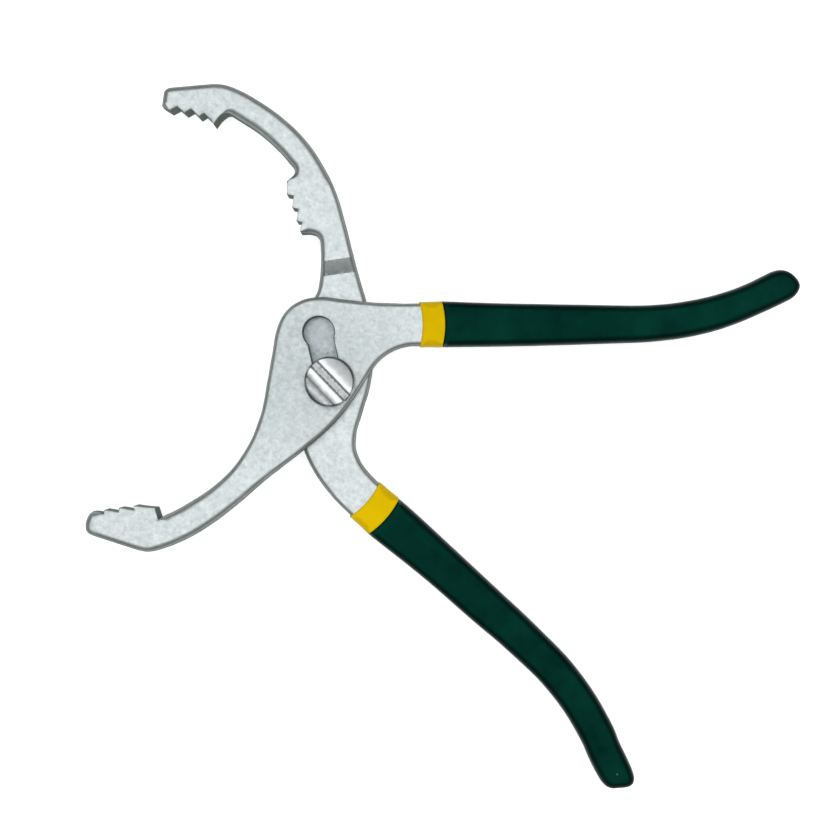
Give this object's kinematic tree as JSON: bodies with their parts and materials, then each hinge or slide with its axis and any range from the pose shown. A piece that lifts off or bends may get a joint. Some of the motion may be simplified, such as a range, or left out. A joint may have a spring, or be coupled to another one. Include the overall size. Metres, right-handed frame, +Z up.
{
  "type": "oil filter wrench",
  "caption": "Slip-joint plier wrench with wide toothed jaws that grip round oil filters, and vinyl-dipped handles.",
  "frame": {"origin": "on the pivot axis, at the flat end face of the pivot bolt, the tool's lowest point as it lies flat", "axes": "+Z up the pivot axis to the bolt's head; +X and +Y lie in the tool's plane, +X the way the front arm's handle starts out, +Y the way the rear arm's jaw stands when the tool is wide open"},
  "size_m": [0.2604, 0.2581, 0.0203],
  "materials": {
    "forged_steel": "satin nickel-plated forging, fine mottled grain",
    "bright_steel": "polished plated bolt",
    "zinc_steel": "bright zinc plate",
    "yellow_vinyl": "dipped vinyl, soft gloss",
    "green_vinyl": "dipped vinyl, soft gloss"
  },
  "bodies": {
    "front": {"front_arm": "forged_steel", "front_collar": "yellow_vinyl", "front_grip": "green_vinyl"},
    "slider": {"slide_washer": "zinc_steel"},
    "rear": {"rear_arm": "forged_steel", "rear_collar": "yellow_vinyl", "rear_grip": "green_vinyl", "pivot_bolt": "bright_steel", "pivot_nut": "zinc_steel"}
  },
  "joints": [
    {"name": "slip_shift", "type": "slide", "parent": "front", "child": "slider", "axis": [-0.225, 0.9744, 0], "range_m": [0, 0.0186]},
    {"name": "pivot", "type": "hinge", "parent": "slider", "child": "rear", "pos_m": [0, 0, 0.0108], "axis": [0, 0, 1], "range_deg": [-6, 46]}
  ]
}
